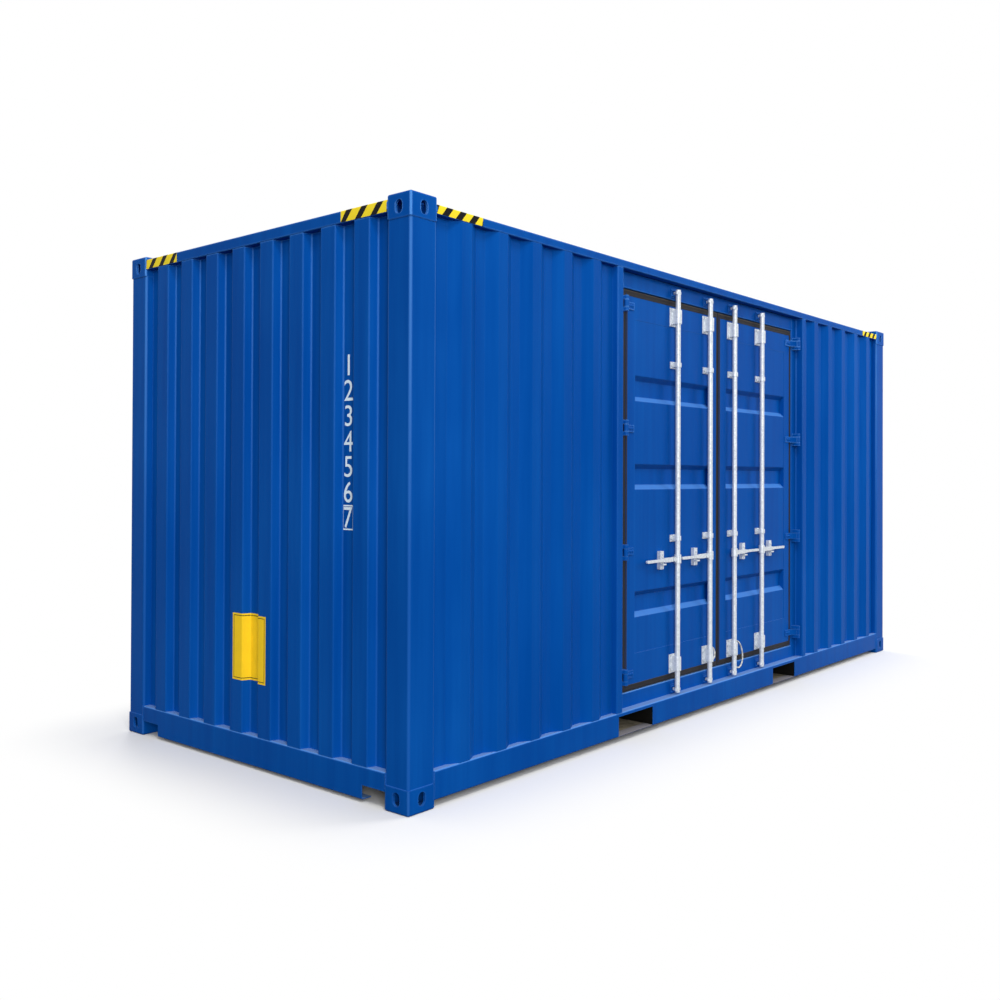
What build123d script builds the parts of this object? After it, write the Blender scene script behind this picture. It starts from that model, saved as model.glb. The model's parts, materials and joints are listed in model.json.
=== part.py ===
from build123d import *
from math import radians, tan
import os

# A twenty-foot high-cube shipping container with a two-leaf door in one long side.
# Millimetres. X runs along the container, Y across it and Z up from the ground. The origin is on the
# ground under the middle. The door side faces -Y. Left and right are as seen by someone facing the door.

# Overall size and corner castings
length = 6058
width = 2438
height = 2896
casting_length = 178
casting_width = 162
casting_height = 118
casting_plate = 28
casting_wall = 13
casting_round = 11
lock_aperture_length = 124
lock_aperture_width = 63.5
lock_aperture_inset_x = 102.5
lock_aperture_inset_y = 89.5
side_aperture_height = 66
side_aperture_width = 46

# Frame members
setback = 4
post_plate = 6
post_bend = 14
post_return = 56
rail_tube = 60
side_rail_height = 46
rail_tube_wall = 4
rail_tube_round = 6
top_rail_drop = 20
bottom_rail_base = 36
bottom_rail_height = 140
bottom_rail_flange = 75
channel_gauge = 4.5
channel_bend = 9
end_sill_base = 16
end_sill_flange = 62
end_notch_width = 160
end_notch_top = 87

# Pressed wall and roof sheets
sheet = 2
sheet_bend = 8
wall_setback = 6
side_depth = 36
side_outer = 72
side_slope = 68
side_inner = 70
end_depth = 45.6
end_outer = 110
end_slope = 18
end_inner = 104
roof_depth = 20
roof_outer = 91
roof_slope = 13.5
roof_inner = 91
roof_bend = 5

# Underframe and floor
cross_member_flange = 45
cross_member_pitch = 300
floor_thickness = 28
floor_top = 186
floor_gap = 2
pocket_width = 380
pocket_height = 115
pocket_spacing = 2050
pocket_shift = -75
pocket_strap_length = 250

# Door frame: the doorway's middle is a little to the right of the container's
door_shift = 15
door_opening = 2360
door_recess = 58
post_hinge_face = 84
post_nose = 60
door_post_plate = 5
door_post_bend = 8
jamb_depth = 62
header_height = 100
header_depth = 60
sill_top = 265
sill_depth = 60

# Door leaves
leaf_gap = 30
leaf_meeting_gap = 14
leaf_thickness = 50
leaf_wall = 4
stile_width = 100
leaf_top_rail = 150
leaf_bottom_rail = 196
groove_rise = 298
groove_drops = (964, 420)
groove_height = 157
groove_slope = 30
groove_depth = 30
panel_inset = 2
gasket_lip = 24
gasket_meeting_lip = 10
gasket_inset = 2
gasket_depth = 32

# Hinges
hinge_count = 4
hinge_rise = 77
hinge_drop = 73
hinge_axis_depth = 15
hinge_axis_offset = 32
hinge_pin_radius = 8
hinge_knuckle_radius = 15
hinge_knuckle_height = 46
hinge_lug_height = 24
hinge_lug_base = 44
hinge_arm_start = 28
hinge_arm_end = 70
hinge_arm_drop = 17
hinge_arm_thickness = 14
hinge_shoulder = 3
hinge_blade_length = 140
hinge_blade_thickness = 8
hinge_seat_margin = 2
hinge_seat_lift = 5
hinge_play = 1
turning_clearance = 0.08

# Lock rods
rod_radius = 16.5
rod_inner_x = 175
rod_outer_x = 600
rod_axis_depth = 21
rod_overlap_bottom = 77
rod_overlap_top = 62
cam_inset = 20
cam_thickness = 16
cam_width = 52
cam_depth = 26
cam_nose = 27
cam_nose_width = 22
keeper_width = 70
keeper_height = 62
keeper_plate = 6
keeper_lug = 8
keeper_reach = 9
keeper_clear = 5
bearing_rise = 77
bearing_drop = 84
bearing_width = 96
bearing_height = 120
bearing_collar = 24
bearing_collar_height = 90
guide_rise = 133
guide_drop = 393
guide_width = 76
guide_height = 44
guide_collar = 22
guide_collar_height = 30
fitting_plate = 6

# Handles
handle_height = 1045
hub_radius = 23
hub_height = 56
handle_pivot = 48
handle_pin_radius = 6
handle_length = 370
handle_thickness = 14
handle_root = 30
handle_grip = 18
handle_root_length = 150
handle_taper = 50
cheek_thickness = 5
cheek_gap = 0.5
catch_distance = 167
catch_width = 40
catch_height = 115
catch_ledge = 10
catch_clear = 6

# Tie cords: limp cords looped beside the inner rods' lower bearings, each between two lugs on the plate
cord_diameter = 10
cord_lug_width = 12
cord_lug_height = 16
cord_lug_depth = 16
cord_lug_offsets = (43, -48)
cord_routes = {
    "left": [
        (-112, -1171, 415), (-92, -1171, 415), (-70, -1173, 404), (-58, -1175, 382),
        (-57, -1176, 356), (-68, -1175, 335), (-90, -1171, 324), (-112, -1171, 324),
    ],
    "right": [
        (238, -1171, 415), (272, -1171, 415), (306, -1174, 397), (328, -1178, 363),
        (339, -1181, 323), (341, -1182, 282), (328, -1181, 245), (298, -1179, 222),
        (262, -1176, 226), (237, -1173, 250), (232, -1171, 286), (232, -1171, 316),
    ],
}

# Places worked out from the sizes above
half_x = length / 2
half_y = width / 2
frame_x = half_x - setback
frame_y = half_y - setback
span_x = half_x - casting_length
span_y = half_y - casting_width
rail_top = bottom_rail_base + bottom_rail_height
top_rail_base = height - top_rail_drop - rail_tube
side_rail_top = top_rail_base + side_rail_height
wall_height = top_rail_base - rail_top
floor_base = floor_top - floor_thickness
header_bottom = top_rail_base - header_height
half_opening = door_opening / 2
post_step = half_opening + post_hinge_face
post_end = post_step + post_nose
door_face = frame_y - door_recess
leaf_outer = half_opening - leaf_gap
leaf_low = sill_top + leaf_gap
leaf_high = header_bottom - leaf_gap
hinge_x = half_opening + hinge_axis_offset
hinge_y = frame_y - hinge_axis_depth
rod_y = frame_y - rod_axis_depth
hinge_low = leaf_low + hinge_rise
hinge_step = (leaf_high - hinge_drop - hinge_low) / (hinge_count - 1)
hinge_heights = [hinge_low + i * hinge_step for i in range(hinge_count)]
rod_bottom = sill_top - rod_overlap_bottom
rod_top = header_bottom + rod_overlap_top
cam_heights = (rod_bottom + cam_inset, rod_top - cam_inset)
bearing_heights = (leaf_low + bearing_rise, leaf_high - bearing_drop)
guide_heights = (handle_height + guide_rise, leaf_high - guide_drop)
sides = {"left": -1, "right": 1}
rods = {"inner": rod_inner_x, "outer": rod_outer_x}
pocket_centres = [pocket_shift + sign * pocket_spacing / 2 for sign in (-1, 1)]

os.makedirs("parts", exist_ok=True)


def save(part, name):
    """Label a finished piece and write it under its name."""
    part.label = name
    export_step(part, f"parts/{name}.step")


def block(first, second, mode=Mode.ADD):
    """Add or cut a box between two opposite corners, in the part being built."""
    size = [abs(b - a) for a, b in zip(first, second)]
    middle = tuple((a + b) / 2 for a, b in zip(first, second))
    with Locations(middle):
        Box(*size, mode=mode)


def out(sign, distance):
    """Give the x of a place on the door side, a distance out from the doorway's middle."""
    return door_shift + sign * distance


def folded_plate(points, gauge, bend, side):
    """Sketch a folded plate: its face follows the points and its gauge lies to one side of them."""
    with BuildLine() as outline:
        FilletPolyline(*points, radius=bend)
        offset(amount=gauge, side=side)
    make_face(outline.edges())


def corrugation(span, outer, slope, inner, depth):
    """Give the points of a pressed sheet's face: as many whole ribs as fit, centred in the span."""
    pitch = outer + inner + 2 * slope
    ribs = int((span - inner) // pitch)
    lead = (span - ribs * pitch + inner) / 2
    points = [(-span / 2, depth)]
    for i in range(ribs):
        foot = lead - span / 2 + i * pitch
        crest = foot + slope
        points += [(foot, depth), (crest, 0), (crest + outer, 0), (crest + outer + slope, depth)]
    points.append((span / 2, depth))
    return points


# Corner castings: hollow blocks with a lock aperture up or down and one in each outer side
with BuildPart() as casting:
    block((span_x, span_y, height - casting_height), (half_x, half_y, height))
    corner_edges = casting.edges().group_by(Axis.Z)[-1] + casting.edges().filter_by(Axis.Z)
    fillet(corner_edges, radius=casting_round)
    block(
        (span_x + casting_wall, span_y + casting_wall, height - casting_height + casting_wall),
        (half_x - casting_wall, half_y - casting_wall, height - casting_plate),
        mode=Mode.SUBTRACT,
    )
    with BuildSketch(Plane.XY.offset(height)):
        with Locations((half_x - lock_aperture_inset_x, half_y - lock_aperture_inset_y)):
            SlotOverall(lock_aperture_length, lock_aperture_width)
    extrude(amount=-casting_plate, mode=Mode.SUBTRACT)
    aperture_z = height - (casting_height + casting_plate - casting_wall) / 2
    with BuildSketch(Plane.XZ.offset(-half_y)):
        with Locations((half_x - casting_length / 2, aperture_z)):
            SlotOverall(side_aperture_height, side_aperture_width, rotation=90)
    extrude(amount=casting_wall, mode=Mode.SUBTRACT)
    with BuildSketch(Plane.YZ.offset(half_x)):
        with Locations((half_y - casting_width / 2, aperture_z)):
            SlotOverall(side_aperture_height, side_aperture_width, rotation=90)
    extrude(amount=-casting_wall, mode=Mode.SUBTRACT)

with BuildPart() as top_castings:
    add(casting.part)
    mirror(about=Plane.YZ)
    mirror(about=Plane.XZ)
save(top_castings.part, "top_corner_castings")

with BuildPart() as bottom_castings:
    mirror(top_castings.part, about=Plane.XY.offset(height / 2))
save(bottom_castings.part, "bottom_corner_castings")

# Corner posts: folded plates between the castings
with BuildPart() as corner_posts:
    with BuildSketch(Plane.XY.offset(casting_height)):
        folded_plate(
            [
                (span_x, frame_y - post_return),
                (span_x, frame_y),
                (frame_x, frame_y),
                (frame_x, span_y),
                (frame_x - post_return, span_y),
            ],
            post_plate,
            post_bend,
            Side.RIGHT,
        )
        mirror(about=Plane.YZ)
        mirror(about=Plane.XZ)
    extrude(amount=height - 2 * casting_height)
save(corner_posts.part, "corner_posts")

# Bottom side rails: channels, cut through where the fork pockets open
pocket_low = bottom_rail_base + channel_gauge
for name, sign in (("front", -1), ("back", 1)):
    with BuildPart() as bottom_rail:
        with BuildSketch(Plane.YZ.offset(-span_x)):
            folded_plate(
                [
                    (sign * (frame_y - bottom_rail_flange), bottom_rail_base),
                    (sign * frame_y, bottom_rail_base),
                    (sign * frame_y, rail_top),
                    (sign * (frame_y - bottom_rail_flange), rail_top),
                ],
                channel_gauge,
                channel_bend,
                Side.LEFT if sign > 0 else Side.RIGHT,
            )
        extrude(amount=2 * span_x)
        for centre in pocket_centres:
            block(
                (centre - pocket_width / 2, sign * half_y, pocket_low),
                (centre + pocket_width / 2, sign * (frame_y - channel_bend), pocket_low + pocket_height),
                mode=Mode.SUBTRACT,
            )
    save(bottom_rail.part, f"bottom_side_rail_{name}")

# Top rails: flat tubes along the sides and square tubes along the ends
for name, sign in (("front", -1), ("back", 1)):
    with BuildPart() as side_tube:
        with BuildSketch(Plane.YZ.offset(-span_x)):
            with Locations((sign * (frame_y - rail_tube / 2), top_rail_base + side_rail_height / 2)):
                RectangleRounded(rail_tube, side_rail_height, rail_tube_round)
                offset(amount=-rail_tube_wall, mode=Mode.SUBTRACT)
        extrude(amount=2 * span_x)
    save(side_tube.part, f"top_side_rail_{name}")

for name, sign in sides.items():
    with BuildPart() as end_tube:
        with BuildSketch(Plane.XZ.offset(-span_y)):
            with Locations((sign * (frame_x - rail_tube / 2), top_rail_base + rail_tube / 2)):
                RectangleRounded(rail_tube, rail_tube, rail_tube_round)
                offset(amount=-rail_tube_wall, mode=Mode.SUBTRACT)
        extrude(amount=2 * span_y)
    save(end_tube.part, f"top_end_rail_{name}")

# End sills: channels with a notch beside each casting
for name, sign in sides.items():
    with BuildPart() as end_sill:
        with BuildSketch(Plane.XZ.offset(-span_y)):
            folded_plate(
                [
                    (sign * (frame_x - end_sill_flange), end_sill_base),
                    (sign * frame_x, end_sill_base),
                    (sign * frame_x, rail_top),
                    (sign * (frame_x - end_sill_flange), rail_top),
                ],
                channel_gauge,
                channel_bend,
                Side.LEFT if sign > 0 else Side.RIGHT,
            )
        extrude(amount=2 * span_y)
        for end in (-1, 1):
            block(
                (sign * half_x, end * span_y, 0),
                (sign * (frame_x - end_sill_flange), end * (span_y - end_notch_width), end_notch_top),
                mode=Mode.SUBTRACT,
            )
    save(end_sill.part, f"end_sill_{name}")

# Walls: pressed sheets between the posts and the rails
wall_y = half_y - wall_setback
wall_x = half_x - wall_setback
for name, sign in sides.items():
    front_span = span_x - sign * out(sign, post_end)
    front_middle = (sign * span_x + out(sign, post_end)) / 2
    front_sheet = corrugation(front_span, side_outer, side_slope, side_inner, side_depth)
    with BuildPart() as front_wall:
        with BuildSketch(Plane.XY.offset(rail_top)):
            line = [(front_middle + u, v - wall_y) for u, v in front_sheet]
            folded_plate(line, sheet, sheet_bend, Side.LEFT)
        extrude(amount=wall_height)
    save(front_wall.part, f"front_wall_{name}")

with BuildPart() as back_wall:
    with BuildSketch(Plane.XY.offset(rail_top)):
        back_sheet = corrugation(2 * span_x, side_outer, side_slope, side_inner, side_depth)
        folded_plate([(u, wall_y - v) for u, v in back_sheet], sheet, sheet_bend, Side.RIGHT)
    extrude(amount=wall_height)
save(back_wall.part, "back_wall")

end_sheet = corrugation(2 * span_y, end_outer, end_slope, end_inner, end_depth)
for name, sign in sides.items():
    with BuildPart() as end_wall:
        with BuildSketch(Plane.XY.offset(rail_top)):
            line = [(sign * (wall_x - v), u) for u, v in end_sheet]
            folded_plate(line, sheet, sheet_bend, Side.LEFT if sign > 0 else Side.RIGHT)
        extrude(amount=wall_height)
    save(end_wall.part, f"end_wall_{name}")

# Roof: one pressed sheet between the top rails, cut away at the castings
roof_x = frame_x - rail_tube
roof_y = frame_y - rail_tube
with BuildPart() as roof:
    with BuildSketch(Plane.XZ.offset(-roof_y)):
        roof_sheet = corrugation(2 * roof_x, roof_outer, roof_slope, roof_inner, roof_depth)
        folded_plate([(u, side_rail_top - v) for u, v in roof_sheet], sheet, roof_bend, Side.RIGHT)
    extrude(amount=2 * roof_y)
    for sx in (-1, 1):
        for sy in (-1, 1):
            block((sx * half_x, sy * half_y, 0), (sx * span_x, sy * span_y, height), mode=Mode.SUBTRACT)
save(roof.part, "roof")

# Door posts: folded plates with a nose beside the wall and a set-back face for the hinges
for name, sign in sides.items():
    with BuildPart() as door_post:
        with BuildSketch(Plane.XY.offset(rail_top)):
            folded_plate(
                [
                    (out(sign, post_end), post_return - frame_y),
                    (out(sign, post_end), -frame_y),
                    (out(sign, post_step), -frame_y),
                    (out(sign, post_step), -door_face),
                    (out(sign, half_opening), -door_face),
                    (out(sign, half_opening), jamb_depth - door_face),
                ],
                door_post_plate,
                door_post_bend,
                Side.RIGHT if sign > 0 else Side.LEFT,
            )
        extrude(amount=wall_height)
    save(door_post.part, f"door_post_{name}")

# Door header and sill
with BuildPart() as header:
    with BuildSketch(Plane.YZ.offset(out(-1, half_opening))):
        with Locations((header_depth / 2 - door_face, (header_bottom + top_rail_base) / 2)):
            RectangleRounded(header_depth, top_rail_base - header_bottom, rail_tube_round)
            offset(amount=-rail_tube_wall, mode=Mode.SUBTRACT)
    extrude(amount=door_opening)
save(header.part, "door_header")

with BuildPart() as sill:
    with BuildSketch(Plane.YZ.offset(out(-1, half_opening))):
        folded_plate(
            [(-door_face, rail_top), (-door_face, sill_top), (sill_depth - door_face, sill_top)],
            door_post_plate,
            door_post_bend,
            Side.RIGHT,
        )
    extrude(amount=door_opening)
save(sill.part, "door_sill")

# Underframe: cross members, fork pockets and the plywood floor
member_end = frame_y - channel_bend
pocket_side = pocket_width / 2 + cross_member_flange
pocket_zones = [(c - pocket_side, c + pocket_side) for c in pocket_centres]
member_run = frame_x - end_sill_flange
member_gaps = int(2 * member_run // cross_member_pitch)
member_places = [(i + 0.5) * 2 * member_run / member_gaps - member_run for i in range(member_gaps)]


def cross_member(x, facing):
    """Add a channel across the container, its web at x and its flanges towards facing."""
    with BuildSketch(Plane.XZ.offset(-member_end)) as section:
        folded_plate(
            [
                (x + facing * cross_member_flange, pocket_low),
                (x, pocket_low),
                (x, floor_base),
                (x + facing * cross_member_flange, floor_base),
            ],
            channel_gauge,
            channel_bend,
            Side.RIGHT if facing > 0 else Side.LEFT,
        )
    extrude(section.sketch, amount=2 * member_end)


with BuildPart() as cross_members:
    for place in member_places:
        flange_end = place + cross_member_flange
        blocked = [zone for zone in pocket_zones if place < zone[1] and flange_end > zone[0]]
        if not blocked and abs(place) < span_x - cross_member_flange:
            cross_member(place, 1)
save(cross_members.part, "cross_members")

for name, centre in zip(sides, pocket_centres):
    with BuildPart() as pocket:
        cross_member(centre - pocket_width / 2, -1)
        cross_member(centre + pocket_width / 2, 1)
        cover_reach = pocket_width / 2 + channel_bend
        block(
            (centre - cover_reach, -member_end, pocket_low + pocket_height),
            (centre + cover_reach, member_end, floor_base),
        )
        strap_start = frame_y - bottom_rail_flange
        for end in (-1, 1):
            block(
                (centre - pocket_side, end * strap_start, bottom_rail_base),
                (centre + pocket_side, end * (strap_start - pocket_strap_length), pocket_low),
            )
    save(pocket.part, f"fork_pocket_{name}")

with BuildPart() as floor:
    floor_x = frame_x - end_sill_flange - floor_gap
    floor_y = frame_y - bottom_rail_flange - floor_gap
    block((-floor_x, -floor_y, floor_base), (floor_x, floor_y, floor_top))
    for sx in (-1, 1):
        for sy in (-1, 1):
            block(
                (sx * half_x, sy * half_y, 0),
                (sx * (span_x - floor_gap), sy * (span_y - floor_gap), height),
                mode=Mode.SUBTRACT,
            )
    for sx in (-1, 1):
        block(
            (out(sx, half_opening - floor_gap), -half_y, floor_base),
            (out(sx, post_end + floor_gap), jamb_depth + floor_gap - door_face, floor_top),
            mode=Mode.SUBTRACT,
        )
save(floor.part, "plywood_floor")

# Hinge lugs with their pins, on the door posts
for name, sign in sides.items():
    pin_x = out(sign, hinge_x)
    with BuildPart() as lugs:
        for z in hinge_heights:
            for side in (-1, 1):
                low = z + side * (hinge_knuckle_height + hinge_lug_height) / 2 - hinge_lug_height / 2
                with BuildSketch(Plane.XY.offset(low)):
                    with Locations((pin_x, -hinge_y)):
                        Circle(hinge_knuckle_radius)
                    Polygon(
                        (pin_x - hinge_knuckle_radius, -hinge_y),
                        (pin_x - hinge_lug_base / 2, -door_face),
                        (pin_x + hinge_lug_base / 2, -door_face),
                        (pin_x + hinge_knuckle_radius, -hinge_y),
                        align=None,
                    )
                extrude(amount=hinge_lug_height)
            with Locations((pin_x, -hinge_y, z)):
                Cylinder(hinge_pin_radius, hinge_knuckle_height + 2 * hinge_lug_height)
    save(lugs.part, f"hinge_lugs_{name}")

# Cam keepers: a plate with a lug above and a lug below each cam, open to the front
with BuildPart() as keepers:
    lug_offset = cam_thickness / 2 + keeper_clear + keeper_lug / 2
    for x in [out(sign, distance) for sign in (-1, 1) for distance in rods.values()]:
        for z in cam_heights:
            plate_front = door_face + keeper_plate
            block(
                (x - keeper_width / 2, -door_face, z - keeper_height / 2),
                (x + keeper_width / 2, -plate_front, z + keeper_height / 2),
            )
            for side in (-1, 1):
                lug_z = z + side * lug_offset
                block(
                    (x - keeper_width / 2, -plate_front, lug_z - keeper_lug / 2),
                    (x + keeper_width / 2, -plate_front - keeper_reach, lug_z + keeper_lug / 2),
                )
save(keepers.part, "cam_keepers")

# Door leaves: an open-backed frame, a pressed panel and a rubber gasket
leaf_width = leaf_outer - leaf_meeting_gap
leaf_height = leaf_high - leaf_low
panel_low = leaf_low + leaf_bottom_rail
panel_high = leaf_high - leaf_top_rail
panel_width = leaf_width - 2 * stile_width
panel_face = door_face - panel_inset
groove_centres = [panel_low + groove_rise] + [panel_high - drop for drop in groove_drops]
for name, sign in sides.items():
    leaf_middle = out(sign, (leaf_outer + leaf_meeting_gap) / 2)
    with BuildPart() as leaf_frame:
        with BuildSketch(Plane.XZ.offset(door_face)):
            with Locations((leaf_middle, (leaf_low + leaf_high) / 2)):
                Rectangle(leaf_width, leaf_height)
            with Locations((leaf_middle, (panel_low + panel_high) / 2)):
                Rectangle(panel_width, panel_high - panel_low, mode=Mode.SUBTRACT)
        extrude(amount=-leaf_thickness)
        with BuildSketch(Plane.XZ.offset(door_face - leaf_wall)):
            with Locations((leaf_middle, (leaf_low + leaf_high) / 2)):
                Rectangle(leaf_width - 2 * leaf_wall, leaf_height - 2 * leaf_wall)
            with Locations((leaf_middle, (panel_low + panel_high) / 2)):
                Rectangle(
                    panel_width + 2 * leaf_wall,
                    panel_high - panel_low + 2 * leaf_wall,
                    mode=Mode.SUBTRACT,
                )
        extrude(amount=leaf_wall - leaf_thickness, mode=Mode.SUBTRACT)
    save(leaf_frame.part, f"{name}_leaf_frame")

    with BuildPart() as leaf_panel:
        trough = groove_depth - panel_face
        line = [(-panel_face, panel_low)]
        for z in groove_centres:
            line.append((-panel_face, z - groove_height / 2))
            line.append((trough, z - groove_height / 2 + groove_slope))
            line.append((trough, z + groove_height / 2 - groove_slope))
            line.append((-panel_face, z + groove_height / 2))
        line.append((-panel_face, panel_high))
        with BuildSketch(Plane.YZ.offset(leaf_middle - panel_width / 2)):
            folded_plate(line, sheet, sheet_bend, Side.RIGHT)
        extrude(amount=panel_width)
    save(leaf_panel.part, f"{name}_leaf_panel")

    with BuildPart() as gasket:
        hinge_edge = out(sign, leaf_outer + gasket_lip)
        meeting_edge = out(sign, leaf_meeting_gap - gasket_meeting_lip)
        outside = door_face - gasket_inset
        block(
            (meeting_edge, -outside, leaf_low - gasket_lip),
            (hinge_edge, gasket_depth - outside, leaf_high + gasket_lip),
        )
        block(
            (out(sign, leaf_meeting_gap), -outside, leaf_low),
            (out(sign, leaf_outer), gasket_depth - outside, leaf_high),
            mode=Mode.SUBTRACT,
        )
    save(gasket.part, f"{name}_leaf_gasket")

    # Hinge blades: a knuckle on the pin and an arm that steps down to the leaf
    with BuildPart() as blades:
        knuckle = hinge_knuckle_height - 2 * hinge_play
        leaf_line = hinge_y - door_face
        blade_line = leaf_line - hinge_blade_thickness
        leaf_edge = hinge_x - leaf_outer
        outline = [
            (0, 0),
            (hinge_knuckle_radius, -hinge_shoulder),
            (hinge_arm_start, -hinge_arm_drop),
            (hinge_arm_end, -blade_line),
            (hinge_blade_length, -blade_line),
            (hinge_blade_length, -leaf_line),
            (leaf_edge + hinge_seat_margin, -leaf_line),
            (leaf_edge - hinge_seat_margin, hinge_seat_lift - leaf_line),
            (hinge_arm_start, -hinge_arm_drop - hinge_arm_thickness),
            (0, -hinge_knuckle_radius),
        ]
        for z in hinge_heights:
            with BuildSketch(Plane.XY.offset(z - knuckle / 2)):
                Polygon(*[(out(sign, hinge_x - u), -hinge_y - v) for u, v in outline], align=None)
                with Locations((out(sign, hinge_x), -hinge_y)):
                    Circle(hinge_knuckle_radius)
                    Circle(hinge_pin_radius + turning_clearance, mode=Mode.SUBTRACT)
            extrude(amount=knuckle)
    save(blades.part, f"{name}_hinge_blades")

    # Rod bearings and guides: plates on the leaf with a collar round the rod
    with BuildPart() as bearings:
        bearing = (door_face, bearing_width, bearing_height, bearing_collar, bearing_collar_height)
        guide = (panel_face, guide_width, guide_height, guide_collar, guide_collar_height)
        places = [(z, *bearing) for z in bearing_heights] + [(z, *guide) for z in guide_heights]
        plate_front = door_face + fitting_plate
        for x in [out(sign, distance) for distance in rods.values()]:
            for z, seat, plate_width, plate_height, collar, collar_height in places:
                block(
                    (x - plate_width / 2, -seat, z - plate_height / 2),
                    (x + plate_width / 2, -plate_front, z + plate_height / 2),
                )
                with BuildSketch(Plane.XY.offset(z - collar_height / 2)):
                    with Locations((x, -rod_y)):
                        Circle(collar)
                    with Locations((x, -(rod_y + door_face) / 2)):
                        Rectangle(2 * collar, rod_y - door_face)
                extrude(amount=collar_height)
            with Locations((x, -rod_y, (leaf_low + leaf_high) / 2)):
                Cylinder(rod_radius + turning_clearance, leaf_height, mode=Mode.SUBTRACT)
        lug_edge = out(sign, rod_inner_x) + bearing_width / 2
        for offset_z in cord_lug_offsets:
            lug_z = bearing_heights[0] + offset_z
            block(
                (lug_edge - cord_lug_width, -plate_front, lug_z - cord_lug_height / 2),
                (lug_edge, -plate_front - cord_lug_depth, lug_z + cord_lug_height / 2),
            )
    save(bearings.part, f"{name}_rod_bearings")

    # Handle catches: a plate behind each handle with a ledge under it
    with BuildPart() as catches:
        handle_back = rod_y - handle_thickness / 2
        for x in rods.values():
            middle = out(sign, x + catch_distance)
            block(
                (middle - catch_width / 2, -panel_face, handle_height - catch_height / 2),
                (middle + catch_width / 2, catch_clear - handle_back, handle_height + catch_height / 2),
            )
            ledge_top = handle_height - handle_root / 2 - catch_clear
            block(
                (middle - catch_width / 2, -panel_face, ledge_top - catch_ledge),
                (middle + catch_width / 2, -rod_y - handle_thickness / 2, ledge_top),
            )
    save(catches.part, f"{name}_handle_catches")

    # Lock rods with their cams and handle hubs, and the handles that pivot in the hubs
    for place, rod_x in rods.items():
        x = out(sign, rod_x)
        pivot_x = out(sign, rod_x + handle_pivot)
        with BuildPart() as rod:
            with Locations((x, -rod_y, (rod_bottom + rod_top) / 2)):
                Cylinder(rod_radius, rod_top - rod_bottom)
            for z in cam_heights:
                with BuildSketch(Plane.XY.offset(z - cam_thickness / 2)):
                    with Locations((x, -rod_y)):
                        SlotOverall(cam_width, cam_depth)
                    with Locations((x, cam_nose / 2 - rod_y)):
                        Rectangle(cam_nose_width, cam_nose)
                extrude(amount=cam_thickness)
            with Locations((x, -rod_y, handle_height)):
                Cylinder(hub_radius, hub_height)
            for side in (-1, 1):
                inner_face = handle_thickness / 2 + cheek_gap
                outer_face = inner_face + cheek_thickness
                with BuildSketch(Plane.XZ.offset(rod_y + side * inner_face)):
                    with Locations((pivot_x, handle_height)):
                        Circle(handle_root / 2)
                    with Locations(((x + pivot_x) / 2, handle_height)):
                        Rectangle(handle_pivot, handle_root)
                extrude(amount=side * cheek_thickness)
            with BuildSketch(Plane.XZ.offset(rod_y - outer_face)):
                with Locations((pivot_x, handle_height)):
                    Circle(handle_pin_radius)
            extrude(amount=2 * outer_face)
        save(rod.part, f"{name}_{place}_lock_rod")

        with BuildPart() as handle:
            half_root = handle_root / 2 - cheek_gap
            half_grip = handle_grip / 2
            root_end = out(sign, rod_x + handle_root_length)
            grip_start = out(sign, rod_x + handle_root_length + handle_taper)
            grip_end = out(sign, rod_x + handle_length - half_grip)
            with BuildSketch(Plane.XZ.offset(rod_y - handle_thickness / 2)):
                with Locations((pivot_x, handle_height)):
                    Circle(half_root)
                Polygon(
                    (pivot_x, handle_height - half_root),
                    (root_end, handle_height - half_root),
                    (grip_start, handle_height - half_grip),
                    (grip_end, handle_height - half_grip),
                    (grip_end, handle_height + half_grip),
                    (grip_start, handle_height + half_grip),
                    (root_end, handle_height + half_root),
                    (pivot_x, handle_height + half_root),
                    align=None,
                )
                with Locations((grip_end, handle_height)):
                    Circle(half_grip)
                with Locations((pivot_x, handle_height)):
                    Circle(handle_pin_radius + turning_clearance, mode=Mode.SUBTRACT)
            extrude(amount=handle_thickness)
        save(handle.part, f"{name}_{place}_handle")

# Tie cords: straight runs joined by arcs as large as the runs allow
for name, points in cord_routes.items():
    route = [Vector(*point) for point in points]
    arcs = []
    for before, corner, after in zip(route, route[1:], route[2:]):
        turn = (corner - before).get_angle(after - corner)
        shorter = min((corner - before).length, (after - corner).length)
        arcs.append(0.45 * shorter / tan(radians(turn) / 2))
    with BuildPart() as cord:
        with BuildLine() as path:
            FilletPolyline(*route, radius=arcs)
        with BuildSketch(Plane(origin=route[0], z_dir=route[1] - route[0])):
            Circle(cord_diameter / 2)
        sweep(path=path.wires()[0])
    print(name, "cord: length", round(path.wires()[0].length), "arc radii", [round(arc) for arc in arcs])
    save(cord.part, f"{name}_tie_cord")
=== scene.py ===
"""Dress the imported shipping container: finishes, door hardware, markings, ropes and a studio."""
import json
import math
from functools import partial

import bmesh
import bpy
from bpy.props import FloatProperty, FloatVectorProperty, PointerProperty, StringProperty
from mathutils import Matrix, Vector

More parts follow.
